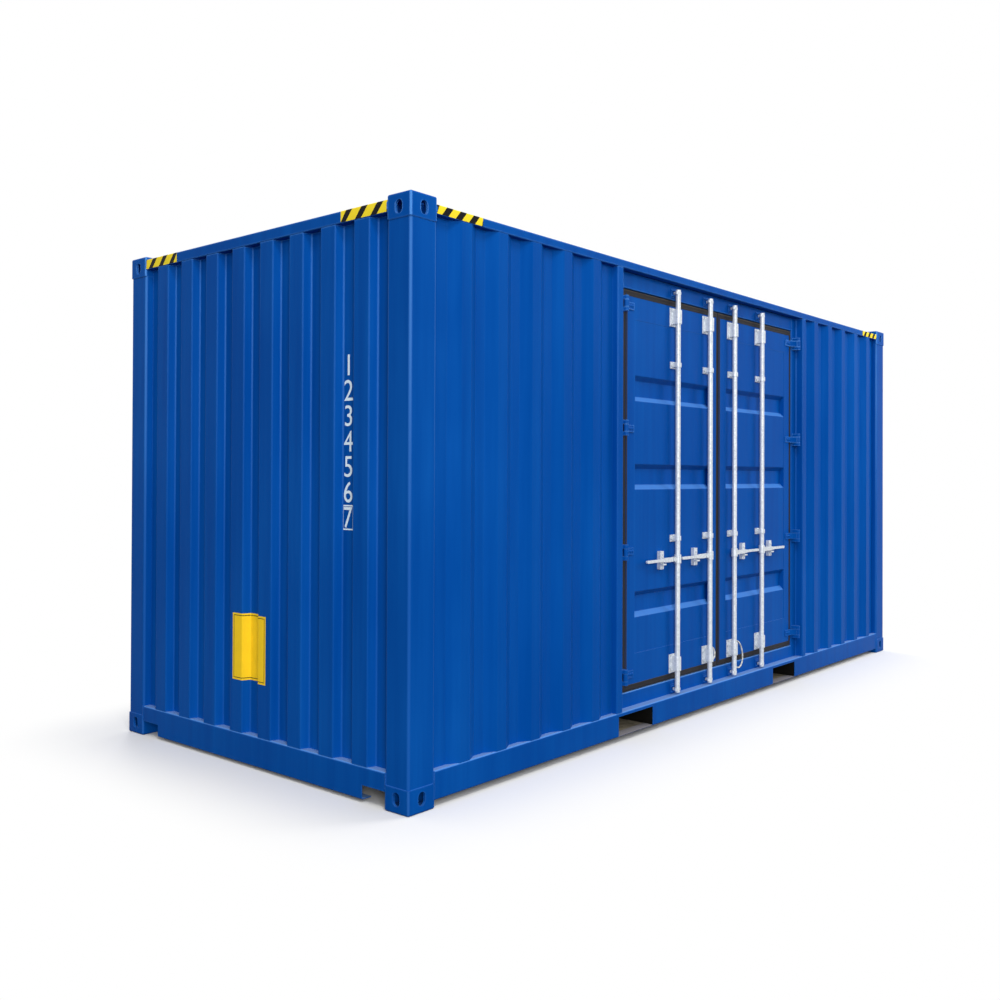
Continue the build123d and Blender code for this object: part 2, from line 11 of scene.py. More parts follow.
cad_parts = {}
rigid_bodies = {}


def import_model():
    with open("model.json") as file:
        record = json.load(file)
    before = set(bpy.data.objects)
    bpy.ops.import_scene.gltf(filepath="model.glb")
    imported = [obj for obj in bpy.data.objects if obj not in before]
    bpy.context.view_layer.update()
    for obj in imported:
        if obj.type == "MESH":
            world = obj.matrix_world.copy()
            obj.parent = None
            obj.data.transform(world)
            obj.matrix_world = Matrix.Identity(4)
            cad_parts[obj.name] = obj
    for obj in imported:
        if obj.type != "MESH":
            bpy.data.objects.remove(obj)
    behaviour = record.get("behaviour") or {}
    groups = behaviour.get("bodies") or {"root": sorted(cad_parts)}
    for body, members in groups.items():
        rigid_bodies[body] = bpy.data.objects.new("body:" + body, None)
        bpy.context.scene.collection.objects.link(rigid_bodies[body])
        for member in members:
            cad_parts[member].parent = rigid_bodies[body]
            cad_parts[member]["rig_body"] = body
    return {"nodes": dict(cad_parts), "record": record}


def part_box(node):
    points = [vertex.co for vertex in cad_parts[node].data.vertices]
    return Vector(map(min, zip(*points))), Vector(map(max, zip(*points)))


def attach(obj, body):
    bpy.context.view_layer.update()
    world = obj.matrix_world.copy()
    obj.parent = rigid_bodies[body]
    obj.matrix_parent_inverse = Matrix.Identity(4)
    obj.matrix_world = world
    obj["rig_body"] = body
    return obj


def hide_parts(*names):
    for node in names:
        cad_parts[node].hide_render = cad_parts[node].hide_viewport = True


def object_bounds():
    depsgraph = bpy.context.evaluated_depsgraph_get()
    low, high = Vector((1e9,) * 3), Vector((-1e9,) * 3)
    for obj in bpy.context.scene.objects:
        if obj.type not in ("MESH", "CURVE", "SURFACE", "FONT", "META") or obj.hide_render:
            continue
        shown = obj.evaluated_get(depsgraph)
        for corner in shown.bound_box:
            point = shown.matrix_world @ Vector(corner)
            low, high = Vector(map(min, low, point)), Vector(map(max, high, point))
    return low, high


bl_info = {
    "name": "Shipping container finish",
    "version": (1, 0, 0),
    "blender": (4, 5, 0),
    "location": "View3D > Sidebar > Container",
    "description": "Finishes, door hardware, markings and studio for a side-door shipping container",
    "category": "Object",
}

for leftover in list(bpy.data.objects):
    bpy.data.objects.remove(leftover)
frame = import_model()
CAD_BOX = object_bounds()

SIDES = {"left": -1, "right": 1}
FACES = {"front": -1, "back": 1}
ROD_PLACES = ("inner", "outer")
CORNERS = ((-1, -1), (1, -1), (1, 1), (-1, 1))
MM = 0.001
UP = Vector((0, 0, 1))
TO_FRONT = UP.rotation_difference(Vector((0, -1, 0))).to_matrix().to_4x4()

# Shading: faces that meet at less than the first angle look smooth, edges sharper than the second are
# rounded, and faces that meet at less than the third are joined into one
SMOOTH_ANGLE = math.radians(38)
ROUNDED_ANGLE = math.radians(40)
FLAT_ANGLE = math.radians(0.5)

# Floor screws: rows along the container, screws across it, and the low heads, in millimetres
SCREW_ROWS = 20
SCREWS_PER_ROW = 16
SCREW_HEAD = 0.8
SCREW_LIFT = 0.3

# Hinge rivets, in millimetres: the blades that they hold, and their places from the blade's inner end
HINGES_PER_LEAF = 4
BLADE_HEIGHT = 44
BLADE_THICKNESS = 8
RIVETS_PER_BLADE = 3
FIRST_RIVET = 14
RIVET_PITCH = 22

# Lock bolts, in millimetres: places on the bearing plates, on the guides and on the catches
BEARING_THICKNESS = 6
BEARING_END_TO_MIDDLE = 60
BEARING_BOLT_X = 36
LOW_BEARING_BOLT_Z = 26
HIGH_BEARING_BOLT_Z = 44
GUIDE_BOLT_X = 30.5
GUIDE_ABOVE_HANDLE = 133
GUIDE_BELOW_LEAF_TOP = 393
CATCH_FROM_ROD = 167
CATCH_DEPTH = 20
CATCH_BOLT_ZS = (-46, 34)
WASHER_THICKNESS = 1.8

# Welds, in millimetres: how far a bead stops from a corner, how deep a fill lies, the end sill's low edge
BEAD_STOP = 12
FILL_INSET = 5
END_SILL_FOOT = 87
BEAD_SIDES = 6
BEAD_WAIST = 0.78

# Films, in millimetres: striped ones round a rail's edge, the last digit's frame, the yellow one's border
FILM_SHORT = 3
FILM_LAP = 50
FILM_BEND = 6
BEND_STEPS = 4
DIGIT_FRAME = (82, 124)
DIGIT_FRAME_LINE = 7
PLATE_MARGIN = 10
PLATE_LINE = 4

# End wall, in metres: its crests lie outside this x, and the floor of a recess is narrower than this
CREST_X = -3.0225
RECESS_WIDTH = 0.12

# Gasket, as shares of its reach past the leaf and of its depth, and of the flange's width and thickness
GASKET_LIPS = (
    (0.0, 0.0), (0.45, 0.02), (0.85, 0.06), (1.0, 0.14), (0.9, 0.22), (0.55, 0.27), (0.42, 0.34),
    (0.55, 0.42), (0.88, 0.50), (1.0, 0.62), (0.9, 0.74), (0.6, 0.80), (0.35, 0.86), (0.3, 1.0), (0.0, 1.0),
)
GASKET_FLANGE = ((0.0, 0.0), (0.0, 0.7), (0.06, 1.0), (0.92, 1.0), (1.0, 0.5), (1.0, 0.0))

# Lamps, in metres: where each hangs, the point that it lights, its width and height, whether paint mirrors it
LAMPS = {
    "key": ((-14.0, -14.5, 5.2), (-0.6, -0.6, 1.4), (6.0, 8.0), True),
    "high": ((-7.5, -7.5, 12.0), (-1.0, -0.6, 1.4), (4.0, 4.0), False),
    "fill": ((7.0, -6.5, 5.0), (2.4, -1.2, 1.4), (4.0, 4.0), False),
    "back": ((5.0, 13.0, 6.0), (0.0, 1.2, 1.4), (4.0, 4.0), False),
    "top": ((0.0, 0.0, 10.5), (0.0, 0.0, 0.0), (9.0, 6.0), False),
}

# Paint on cast and forged steel, whose skin is coarser than that of rolled sheet
LUMPY = {"grain_mm": 9, "grain_depth": 0.0006}

# Tie cords: the route of each, in millimetres, from its upper lug to its lower one
ROPE_DIAMETER = 10 * MM
ROPE_ROUTES = {
    "left": [
        (-112, -1171, 415), (-92, -1171, 415), (-70, -1173, 404), (-58, -1175, 382),
        (-57, -1176, 356), (-68, -1175, 335), (-90, -1171, 324), (-112, -1171, 324),
    ],
    "right": [
        (238, -1171, 415), (272, -1171, 415), (306, -1174, 397), (328, -1178, 363),
        (339, -1181, 323), (341, -1182, 282), (328, -1181, 245), (298, -1179, 222),
        (262, -1176, 226), (237, -1173, 250), (232, -1171, 286), (232, -1171, 316),
    ],
}


def linear(code):
    """Turn an sRGB hex colour into linear red, green and blue."""
    values = [int(code[i:i + 2], 16) / 255 for i in (1, 3, 5)]
    return tuple(v / 12.92 if v <= 0.04045 else ((v + 0.055) / 1.055) ** 2.4 for v in values)


def per_metre(size_mm):
    """Give the texture scale at which one feature of a pattern is size_mm wide."""
    return 1000.0 / size_mm


def colour_prop(name, description, code):
    """Describe one colour that a user may change."""
    return FloatVectorProperty(
        name=name, description=description, default=linear(code), subtype="COLOR", min=0.0, max=1.0
    )


def length_prop(name, description, default):
    """Describe one length that a user may change, in metres."""
    return FloatProperty(name=name, description=description, default=default, unit="LENGTH", min=0.0)


def angle_prop(name, description, degrees):
    """Describe one angle that a user may change."""
    return FloatProperty(
        name=name, description=description, default=math.radians(degrees), subtype="ANGLE"
    )


def power_prop(name, description, default):
    """Describe one lamp's power that a user may change, in watts."""
    return FloatProperty(name=name, description=description, default=default, unit="POWER", min=0.0)


def number_prop(name, description, default, unit="NONE"):
    """Describe one number of either sign that a user may change."""
    return FloatProperty(name=name, description=description, default=default, unit=unit)


class ContainerFinish(bpy.types.PropertyGroup):
    """Colours of the container's finishes."""

    enamel: colour_prop("Enamel", "Blue enamel on all the steelwork", "#01479A")
    enamel_faded: colour_prop("Faded enamel", "Where the enamel has weathered a little paler", "#0A56AB")
    # A painted highlight: the pale blue drawn along edges and bends, and on sloping ledges
    enamel_edge: colour_prop("Enamel edge", "Thin paint along bends and edges", "#5C9CE8")
    # A painted reflection of the sky: the paler blue drawn on level ledges that face up
    enamel_chalk: colour_prop("Chalked enamel", "Ledges that sun and rain have chalked", "#86A9DA")
    road_dust: colour_prop("Road dust", "Dry dust that settles in the fork pockets", "#A39A86")
    zinc: colour_prop("Zinc", "Pale crystals of the galvanised lock gear", "#DDE2E8")
    zinc_dark: colour_prop("Dark zinc", "Darker crystals of the galvanised lock gear", "#AEB8C2")
    rubber: colour_prop("Rubber", "Door gasket", "#17161A")
    undercoat: colour_prop("Undercoat", "Bitumen on the underframe", "#0C0B09")
    rope: colour_prop("Rope", "Polyester cords on the door", "#E6E6E0")
    ply: colour_prop("Plywood", "Pale grain of the floor", "#8A633D")
    ply_dark: colour_prop("Dark plywood", "Dark grain of the floor", "#5B3D22")
    warning_yellow: colour_prop("Warning yellow", "Yellow of the striped film", "#F6DC2E")
    warning_black: colour_prop("Warning black", "Black of the striped film", "#0F0E10")
    plate_yellow: colour_prop("Plate yellow", "Bare yellow film on the end wall", "#FFD426")
    lettering: colour_prop("Lettering", "White digits on the end wall", "#E6F6FF")


class ContainerHardware(bpy.types.PropertyGroup):
    """Sizes of the small hardware that is added to the solids."""

    edge_round: length_prop("Edge round", "Rounding of forged and cast edges", 0.0016)
    bolt_radius: length_prop("Bolt head", "Radius of a hexagon bolt head", 0.0085)
    bolt_height: length_prop("Bolt height", "Height of a hexagon bolt head", 0.0055)
    washer_radius: length_prop("Washer", "Radius of the washer under a bolt head", 0.0125)
    rivet_radius: length_prop("Rivet head", "Radius of a hinge rivet head", 0.009)
    bead_radius: length_prop("Weld bead", "Radius of a fillet weld bead", 0.0038)
    fill_radius: length_prop("Fill weld", "Radius of the weld that fills a post's groove", 0.0085)
    bead_step: length_prop("Weld ripple", "Spacing of the ripples along a weld", 0.007)
    gasket_flange: length_prop("Gasket flange", "Width of the gasket's flange on the leaf's face", 0.013)
    gasket_skin: length_prop("Gasket skin", "Thickness of the gasket's flange", 0.0015)
    screw_radius: length_prop("Floor screw", "Radius of a floor screw head", 0.007)


class ContainerMarkings(bpy.types.PropertyGroup):
    """Sizes and wording of the markings."""

    stripe_length: length_prop("Stripe length", "Length of each striped film", 0.332)
    stripe_pitch: length_prop("Stripe pitch", "Width of a yellow and a black stripe on a side rail", 0.096)
    end_pitch: length_prop("End stripe pitch", "Width of a yellow and a black stripe on an end rail", 0.111)
    stripe_black: length_prop("Black stripe", "Width of one black stripe along the rail", 0.045)
    stripe_start: length_prop("First stripe", "From the casting to the first black stripe's middle", 0.073)
    stripe_slant: number_prop("Stripe slant", "How far a stripe leans for each unit of height", 0.85)
    digits: StringProperty(name="Digits", description="Plain counting digits", default="1234567")
    digit_height: length_prop("Digit height", "Height of one digit", 0.103)
    digit_width: length_prop("Digit width", "Width of one digit", 0.064)
    digit_pitch: length_prop("Digit pitch", "Drop from one digit to the next", 0.126)
    digit_offset: length_prop("Digit offset", "How far the digits stand from the recess's middle", 0.014)
    digit_top: length_prop("Digit top", "Height of the first digit's top above the ground", 2.172)
    plate_low: length_prop("Plate bottom", "Height of the yellow film's lower edge", 0.460)
    plate_high: length_prop("Plate top", "Height of the yellow film's upper edge", 0.822)
    plate_near: number_prop("Plate near edge", "Yellow film's edge towards the doors", -0.138, "LENGTH")
    plate_far: number_prop("Plate far edge", "Yellow film's edge away from the doors", 0.154, "LENGTH")
    film: length_prop("Film", "Thickness of a stuck-on film", 0.0005)


class ContainerStudio(bpy.types.PropertyGroup):
    """Camera, lamps and floor."""

    camera_place: FloatVectorProperty(
        name="Camera place", description="Where the camera stands", default=(-6.34252, -4.57284, 1.56852),
        subtype="TRANSLATION", unit="LENGTH",
    )
    camera_yaw: angle_prop("Camera yaw", "Turn from +Y towards +X", 49.5742)
    camera_pitch: angle_prop("Camera pitch", "Tilt up from level", 0.4236)
    camera_roll: angle_prop("Camera roll", "Turn about the line of sight", 0.2206)
    lens: number_prop("Lens", "Focal length on a 36 mm sensor, in millimetres", 36.734)
    shift_x: number_prop("Shift X", "Sideways shift of the frame", 0.00243)
    shift_y: number_prop("Shift Y", "Upward shift of the frame", -0.03069)
    key_power: power_prop("Key lamp", "Power of the tall soft lamp beside the camera", 1860.0)
    high_power: power_prop("High lamp", "Power of the soft lamp high over the near corner", 720.0)
    fill_power: power_prop("Fill lamp", "Power of the soft lamp near the far end", 430.0)
    back_power: power_prop("Back lamp", "Power of the soft lamp behind the container", 700.0)
    top_power: power_prop("Top lamp", "Power of the soft lamp above", 300.0)
    sky_level: number_prop("Sky level", "Strength of the even light all round", 0.45)
    floor_radius: length_prop("Floor radius", "Radius of the round studio floor", 40.0)
    floor_bounce: number_prop("Floor bounce", "Share of light that the floor throws back", 0.08)


def add_node(tree, kind, *values, sockets=None, give=None, **settings):
    """Add a node with its settings, fill its sockets, and give one of its outputs.

    Values go into the sockets in use, in their order, and those in sockets into the ones that are named;
    another node's output is linked. The output is the one that give names, or else the first in use.
    """
    made = tree.nodes.new(f"ShaderNode{kind}")
    for name, value in settings.items():
        setattr(made, name, value)
    filled = list(zip((socket for socket in made.inputs if socket.enabled), values))
    filled += [(made.inputs[name], value) for name, value in (sockets or {}).items()]
    for socket, value in filled:
        if isinstance(value, bpy.types.NodeSocket):
            tree.links.new(value, socket)
        else:
            socket.default_value = (*value, 1.0) if socket.type == "RGBA" else value
    return made.outputs[give] if give else next((out for out in made.outputs if out.enabled), None)


def new_finish(name):
    """Start a material, and give add_node for its empty tree and each point's place in metres."""
    material = bpy.data.materials.new(name)
    material.use_nodes = True
    material.node_tree.nodes.clear()
    add = partial(add_node, material.node_tree)
    return add, add("TexCoord", give="Object")


def finished(name, surface, **details):
    """Give the material of a name, made at the first call from the sockets that a surface function gives."""
    if name not in bpy.data.materials:
        add, place = new_finish(name)
        sockets = surface(add, place, bpy.context.scene.container_finish, **details)
        add("OutputMaterial", add("BsdfPrincipled", sockets=sockets))
    return bpy.data.materials[name]


def sprayed_enamel(add, place, finish, edges, chalk, bends=0.0, dust=0.0, grain_mm=6, grain_depth=0.00012):
    """Alkyd enamel sprayed on blasted steel.

    The eye sees an even deep blue with a soft gloss, a faint skin of orange peel, slow dents in the large
    flats, paler weathering in tall streaks, a painted highlight along edges and upright bends that fades
    lower down, a painted reflection of the sky on ledges that face up, and dry dust on ledges near the
    ground. The arguments give the shares of the edge highlight, the sky reflection, the bend highlight and
    the dust. The grain is drawn coarser than a real one, which is too fine to show.
    """
    height = add("SeparateXYZ", place, give="Z")
    facing = add("NewGeometry", give="Normal")
    upward = add("SeparateXYZ", facing, give="Z")

    # Weathering: slow clouds times tall streaks
    cloud = add("TexNoise", place, per_metre(1400), 3.0, 0.55)
    tall = add("Mapping", place, sockets={"Scale": (1.0, 1.0, 0.045)})
    streak = add("TexNoise", tall, per_metre(70), 4.0, 0.6)
    weathering = add("Math", cloud, streak, operation="MULTIPLY")
    faded = add("MapRange", weathering, 0.14, 0.42, 0.0, 0.85)
    colour = add("Mix", faded, finish.enamel, finish.enamel_faded, data_type="RGBA")

    # Painted highlight: a rounded normal leaves the face's own at edges, and points two ways on upright
    # bends, where the colour is drawn pale blue
    rounded = add("Bevel", 10 * MM, samples=4)
    flatness = add("VectorMath", rounded, facing, operation="DOT_PRODUCT")
    edge = add("MapRange", flatness, 0.995, 0.90, 0.0, edges)
    soft = add("SeparateXYZ", rounded).node.outputs
    both_ways = add("Math", soft["X"], soft["Y"], operation="MULTIPLY")
    turned = add("Math", both_ways, operation="ABSOLUTE")
    bend = add("MapRange", turned, 0.10, 0.40, 0.0, bends)
    # The painted highlight's mask: the larger of the edge share and the bend share
    thin = add("Math", edge, bend, operation="MAXIMUM")
    # The painted highlight is full above 2.6 m and fades to 0.22 of itself below 0.9 m, then mixes pale blue
    # in
    highlight_by_height = add("MapRange", height, 0.9, 2.6, 0.22, 1.0, interpolation_type="SMOOTHSTEP")
    worn = add("Math", thin, highlight_by_height, operation="MULTIPLY")
    highlit_colour = add("Mix", worn, colour, finish.enamel_edge, data_type="RGBA")

    # Ledges: a painted reflection of the sky below the top rails where they face up, and dust near the ground
    below_top = add("MapRange", height, 2.80, 2.76, 0.0, chalk)
    skyward = add("MapRange", upward, 0.3, 0.8, 0.0, 1.0)
    sky_sheen_share = add("Math", below_top, skyward, operation="MULTIPLY")
    level = add("MapRange", upward, 0.85, 0.97, 0.0, 1.0)
    # The painted sky reflection: pale blue on sloping ledges, paler still on level ones
    ledge = add("Mix", level, finish.enamel_edge, finish.enamel_chalk, data_type="RGBA")
    low = add("MapRange", height, 0.10, 0.05, 0.0, dust)
    sheen_and_dust = add("Mix", low, ledge, finish.road_dust, data_type="RGBA")

    # Skin: orange peel or mould grain over slow dents
    dents = add("TexNoise", place, per_metre(520), 1.0)
    wavy = add("Bump", sockets={"Height": dents, "Strength": 0.5, "Distance": 0.010})
    grain = add("TexNoise", place, per_metre(grain_mm), 2.0)
    skin = {"Height": grain, "Strength": 0.35, "Distance": grain_depth, "Normal": wavy}
    return {
        "Base Color": add("Mix", sky_sheen_share, highlit_colour, sheen_and_dust, data_type="RGBA"),
        "Roughness": add("MapRange", streak, 0.3, 0.7, 0.30, 0.42),
        "Specular IOR Level": add("MapRange", upward, 0.2, 0.9, 0.022, 0.12),
        "Normal": add("Bump", sockets=skin),
    }


# Enamel on each kind of steel: how much of each effect sprayed_enamel draws
ENAMELS = {
    # Rolled and pressed steel, with the fine orange peel of a spray gun
    "pressed_steel": {"edges": 0.5, "chalk": 0.7},
    # The bottom side rails, with dust where they run under the fork pockets
    "bottom_rails": {"edges": 0.5, "chalk": 0.7, "dust": 1.0},
    # The folded corner posts, with a painted highlight on their round bends, brightest high up
    "folded_posts": {"edges": 0.1, "chalk": 0.1, "bends": 0.4},
    # The door leaves and the long walls, whose seams and shallow bends hardly show
    "panels": {"edges": 0.1, "chalk": 0.55},
    # The corner castings: the mould's coarse grain shows through the paint
    "cast_steel": {"edges": 0.1, "chalk": 0.1, "bends": 0.75, **LUMPY},
    # Rivets, keepers and welds: lumpy under the paint, with a faint painted highlight at the edges
    "forged_steel": {"edges": 0.25, "chalk": 0.1, **LUMPY},
    # The hinges: lumpy under the paint, with a strong painted highlight at the edges
    "forged_hinges": {"edges": 0.85, "chalk": 0.1, **LUMPY},
}


def enamel(steel):
    """Give the enamel on one kind of steel."""
    return finished(f"enamel_on_{steel}", sprayed_enamel, **ENAMELS[steel])


def galvanised_steel(add, place, finish):
    """Hot-dip zinc on forged steel: bright, slightly milky metal with crystals a fingernail wide."""
    crystals = add("TexVoronoi", place, per_metre(11), give="Color")
    shade = add("SeparateColor", crystals, give="Red")
    bloom = add("TexNoise", place, per_metre(160), 4.0, 0.6)
    mixed = add("Math", shade, bloom, operation="MULTIPLY")
    pits = add("TexNoise", place, per_metre(4), 2.0)
    return {
        "Base Color": add("Mix", mixed, finish.zinc, finish.zinc_dark, data_type="RGBA"),
        "Metallic": 0.3,
        "Roughness": add("MapRange", shade, 0.0, 1.0, 0.36, 0.54),
        "Normal": add("Bump", sockets={"Height": pits, "Strength": 0.25, "Distance": 0.0002}),
    }


def zinc_coat():
    """Galvanised steel on the lock gear, its bolts and the floor screws."""
    return finished("hot_dip_galvanised_steel", galvanised_steel)


def gasket_rubber(add, place, finish):
    """Extruded EPDM: dull near-black rubber, greyed by dust where it faces up."""
    upward = add("SeparateXYZ", add("NewGeometry", give="Normal"), give="Z")
    patchy = add("TexNoise", place, per_metre(30), 4.0, 0.6)
    ledge = add("MapRange", upward, 0.1, 0.9, 0.0, 0.5)
    dust = add("Math", ledge, patchy, operation="MULTIPLY")
    return {
        "Base Color": add("Mix", dust, finish.rubber, finish.road_dust, data_type="RGBA"),
        "Roughness": 0.68,
        "Specular IOR Level": 0.3,
        "Normal": add("Bump", sockets={"Height": patchy, "Strength": 0.3, "Distance": 0.0006}),
    }


def bitumen_undercoat(add, place, finish):
    """Brushed bitumen on the underframe: near-black and dull, with beige dust lying on what faces up."""
    upward = add("SeparateXYZ", add("NewGeometry", give="Normal"), give="Z")
    patchy = add("TexNoise", place, per_metre(60), 6.0, 0.65)
    ledge = add("MapRange", upward, 0.3, 0.95, 0.0, 1.4)
    dust = add("Math", ledge, patchy, operation="MULTIPLY", use_clamp=True)
    strokes = add("Mapping", place, sockets={"Scale": (1.0, 0.12, 1.0)})
    brush = add("TexNoise", strokes, per_metre(7), 3.0)
    return {
        "Base Color": add("Mix", dust, finish.undercoat, finish.road_dust, data_type="RGBA"),
        "Roughness": 0.72,
        "Specular IOR Level": 0.12,
        "Normal": add("Bump", sockets={"Height": brush, "Strength": 0.5, "Distance": 0.0012}),
    }


def twisted_rope(add, place, finish):
    """Three-strand polyester rope: off-white, dull and soft, the lay of the strands drawn as slanting bands.

    A wave's bands stand 0.314 of its size apart, so this size draws one band every 16 mm.
    """
    # The bands between the strands are drawn at 0.62 of the rope's colour
    soiled = tuple(0.62 * value for value in finish.rope)
    strands = add(
        "TexWave", place, per_metre(52), 0.6, 1.0,
        give="Fac", wave_type="BANDS", bands_direction="DIAGONAL",
    )
    return {
        "Base Color": add("Mix", strands, soiled, finish.rope, data_type="RGBA"),
        "Roughness": 0.85,
        "Specular IOR Level": 0.2,
        "Normal": add("Bump", sockets={"Height": strands, "Strength": 0.6, "Distance": 0.0015}),
    }


def floor_plywood(add, place, finish):
    """Marine plywood: brown rotary-cut grain along the container, butt joints, worn satin varnish."""
    along = add("Mapping", place, sockets={"Scale": (0.08, 1.0, 1.0)})
    grain = add("TexNoise", along, per_metre(24), 6.0, 0.65, sockets={"Distortion": 0.6})
    colour = add("Mix", grain, finish.ply, finish.ply_dark, data_type="RGBA")
    joints = add("TexBrick", place, sockets={
        "Color1": (1.0, 1.0, 1.0), "Color2": (0.82, 0.82, 0.82), "Mortar": (0.12, 0.1, 0.08),
        "Scale": 1.0, "Mortar Size": 0.003, "Brick Width": 2.44, "Row Height": 1.138,
    })
    return {
        "Base Color": add("Mix", 1.0, colour, joints, data_type="RGBA", blend_type="MULTIPLY"),
        "Roughness": 0.55,
        "Normal": add("Bump", sockets={"Height": grain, "Strength": 0.3, "Distance": 0.0008}),
    }


def printed_film(add, place, finish, colour):
    """Cast vinyl film: one of the finish's colours printed flat with a low gloss, slightly soiled."""
    printed = getattr(finish, colour)
    soil = add("TexNoise", place, per_metre(55), 5.0, 0.6)
    shade = add("MapRange", soil, 0.35, 0.75, 0.0, 0.16)
    darker = tuple(0.55 * value for value in printed)
    return {
        "Base Color": add("Mix", shade, printed, darker, data_type="RGBA"),
        "Roughness": 0.5,
        "Specular IOR Level": 0.1,
    }


def link_piece(name, bm, body, slot, *materials):
    """Finish a bmesh as a smooth-shaded piece, and put it in the scene to ride a body."""
    bmesh.ops.recalc_face_normals(bm, faces=bm.faces)
    mesh = bpy.data.meshes.new(name)
    bm.to_mesh(mesh)
    bm.free()
    for face in mesh.polygons:
        face.use_smooth = True
    mesh.set_sharp_from_angle(angle=SMOOTH_ANGLE)
    for material in materials:
        mesh.materials.append(material)
    piece = bpy.data.objects.new(name, mesh)
    bpy.context.scene.collection.objects.link(piece)
    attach(piece, body)
    return piece


def paint_nodes(names, material):
    """Give CAD nodes a finish."""
    for name in names:
        mesh = frame["nodes"][name].data
        mesh.materials.clear()
        mesh.materials.append(material)


def softened(node, material, slot):
    """Copy a CAD node with its sharp edges rounded, and let the copy stand for it."""
    source = frame["nodes"][node]
    bm = bmesh.new()
    corners = [bm.verts.new(v.co) for v in source.data.vertices]
    for face in source.data.polygons:
        bm.faces.new([corners[i] for i in face.vertices])
    bmesh.ops.remove_doubles(bm, verts=bm.verts, dist=1e-5)
    bmesh.ops.dissolve_limit(bm, angle_limit=FLAT_ANGLE, verts=bm.verts, edges=bm.edges)
    piece = link_piece(f"{node}_rounded", bm, source["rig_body"], slot, material)
    bevel = piece.modifiers.new("Rounded edges", "BEVEL")
    bevel.width = bpy.context.scene.container_hardware.edge_round
    bevel.segments = 2
    bevel.limit_method = "ANGLE"
    bevel.angle_limit = ROUNDED_ANGLE
    bevel.harden_normals = True
    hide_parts(node)


def add_bolt(bm, place):
    """Add a washer and a hexagon bolt head on a face that looks to the front."""
    hardware = bpy.context.scene.container_hardware
    washer, head = hardware.washer_radius, hardware.bolt_radius
    seat = WASHER_THICKNESS * MM
    flank, chamfer = hardware.bolt_height * 0.8, hardware.bolt_height * 0.2
    layers = (
        (24, washer, washer * 0.94, 0.0, seat),
        (6, head, head, seat, flank),
        (6, head, head * 0.82, seat + flank, chamfer),
    )
    for sides, low, high, start, depth in layers:
        lift = Matrix.Translation((0, 0, start + depth / 2))
        bmesh.ops.create_cone(
            bm, cap_ends=True, segments=sides, radius1=low, radius2=high, depth=depth,
            matrix=Matrix.Translation(place) @ TO_FRONT @ lift,
        )


def add_rivet(bm, place):
    """Add a domed rivet head on a face that looks to the front."""
    radius = bpy.context.scene.container_hardware.rivet_radius
    ball = bmesh.ops.create_uvsphere(bm, u_segments=16, v_segments=8, radius=radius)["verts"]
    bmesh.ops.delete(bm, geom=[v for v in ball if v.co.z < -radius * 0.05], context="VERTS")
    dome = [v for v in ball if v.is_valid]
    squash = Matrix.Diagonal((1, 1, 0.55, 1))
    bmesh.ops.transform(bm, matrix=Matrix.Translation(place) @ TO_FRONT @ squash, verts=dome)


def add_bead(bm, start, end, out, radius):
    """Add a rippled weld bead along a straight seam; out points away from the seam."""
    start, end, out = Vector(start), Vector(end), Vector(out).normalized()
    run = end - start
    steps = max(2, round(run.length / bpy.context.scene.container_hardware.bead_step) * 2)
    across = run.normalized().cross(out)
    rings = []
    for i in range(steps + 1):
        swell = 1.0 if i % 2 else BEAD_WAIST
        middle = start + run * (i / steps)
        ring = []
        for k in range(BEAD_SIDES + 1):
            angle = math.pi * k / BEAD_SIDES
            offset = across * math.cos(angle) + out * math.sin(angle)
            ring.append(bm.verts.new(middle + offset * radius * swell))
        rings.append(ring)
    for a, b in zip(rings, rings[1:]):
        for k in range(BEAD_SIDES):
            bm.faces.new((a[k], a[k + 1], b[k + 1], b[k]))
        bm.faces.new((a[-1], a[0], b[0], b[-1]))
    bm.faces.new(rings[0])
    bm.faces.new(rings[-1])


class CONTAINER_OT_steelwork(bpy.types.Operator):
    """Paint the frame, walls, roof and underframe, and round the corner castings"""

    bl_idname = "container.steelwork"
    bl_label = "Paint the steelwork"

    def execute(self, context):
        kinds = ("top_end_rail", "end_sill", "end_wall", "door_post")
        pressed = [f"{kind}_{side}" for side in SIDES for kind in kinds]
        pressed += [f"top_side_rail_{face}" for face in FACES]
        paint_nodes(["door_header", "door_sill", "roof", *pressed], enamel("pressed_steel"))
        paint_nodes(["back_wall", *(f"front_wall_{side}" for side in SIDES)], enamel("panels"))
        paint_nodes([f"bottom_side_rail_{face}" for face in FACES], enamel("bottom_rails"))
        paint_nodes(["corner_posts"], enamel("folded_posts"))
        bitumen = finished("brushed_bitumen_undercoat", bitumen_undercoat)
        paint_nodes(["cross_members", *(f"fork_pocket_{side}" for side in SIDES)], bitumen)
        for level in ("top", "bottom"):
            softened(f"{level}_corner_castings", enamel("cast_steel"), "blue_paint")
        return {"FINISHED"}


class CONTAINER_OT_floor(bpy.types.Operator):
    """Varnish the plywood floor and screw it to the cross members"""

    bl_idname = "container.floor"
    bl_label = "Lay the floor"

    def execute(self, context):
        paint_nodes(["plywood_floor"], finished("varnished_marine_plywood", floor_plywood))
        low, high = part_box("plywood_floor")
        radius = context.scene.container_hardware.screw_radius
        bm = bmesh.new()
        for i in range(SCREW_ROWS):
            for k in range(SCREWS_PER_ROW):
                x = low.x + (i + 0.5) * (high.x - low.x) / SCREW_ROWS
                y = low.y + (k + 1.0) * (high.y - low.y) / (SCREWS_PER_ROW + 1)
                bmesh.ops.create_cone(
                    bm, cap_ends=True, segments=12, radius1=radius, radius2=radius * 0.8,
                    depth=SCREW_HEAD * MM, matrix=Matrix.Translation((x, y, high.z + SCREW_LIFT * MM)),
                )
        link_piece("floor_screws", bm, "container", "galvanised_steel", zinc_coat())
        return {"FINISHED"}


